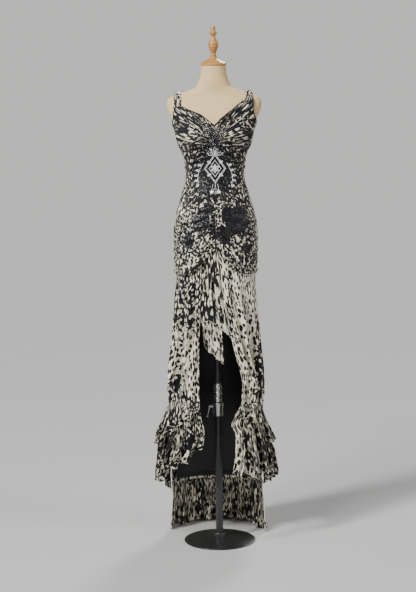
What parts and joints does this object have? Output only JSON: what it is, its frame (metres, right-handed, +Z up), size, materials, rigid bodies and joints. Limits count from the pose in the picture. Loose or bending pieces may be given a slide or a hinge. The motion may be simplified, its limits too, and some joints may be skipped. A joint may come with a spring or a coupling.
{
  "type": "evening dress on a limbless dress form",
  "caption": "Floor-length printed evening dress with gathered cups, ruched hips, a split skirt, flounces and a train, on a limbless dress form with a wooden neck cap and a round stand.",
  "frame": {"origin": "middle of the base plate's underside, on the axis of the stand", "axes": "+Z up along the stand; the front of the dress faces -Y; +X is to the viewer's right"},
  "size_m": [0.486, 0.5434, 2.0031],
  "materials": {
    "printed_chiffon": "printed black and cream chiffon",
    "black_lining": "smooth black lining",
    "beaded_black": "black cloth covered in small beads",
    "form_cover": "cream cotton cover",
    "turned_wood": "light varnished wood",
    "black_steel": "black paint",
    "chromed_steel": "bright plating"
  },
  "bodies": {
    "stand_and_dress": {"back_left": "printed_chiffon", "back_lining": "black_lining", "back_right": "printed_chiffon", "base_hub": "black_steel", "base_plate": "black_steel", "centre_tab": "beaded_black", "clamp_body": "chromed_steel", "cup_left": "printed_chiffon", "cup_right": "printed_chiffon", "finial": "turned_wood", "flounce_left": "printed_chiffon", "flounce_right": "printed_chiffon", "form_torso": "form_cover", "hip_drape_left": "printed_chiffon", "hip_drape_right": "printed_chiffon", "lower_tube": "black_steel", "midriff_front": "printed_chiffon", "neck_cap": "turned_wood", "pole_flange": "black_steel", "ribbed_collar": "chromed_steel", "ruffle_left": "printed_chiffon", "ruffle_right": "printed_chiffon", "skirt_back": "printed_chiffon", "skirt_centre": "printed_chiffon", "skirt_left": "printed_chiffon", "skirt_right": "printed_chiffon", "strap_left": "printed_chiffon", "strap_right": "printed_chiffon", "train": "printed_chiffon", "under_drape": "printed_chiffon", "upper_tube": "black_steel"},
    "lever": {"clamp_lever": "black_steel"}
  },
  "joints": [
    {"name": "clamp_turn", "type": "hinge", "parent": "stand_and_dress", "child": "lever", "pos_m": [-0.0323, 0, 0.538], "axis": [-1, 0, 0], "range_deg": [0, 180]}
  ]
}
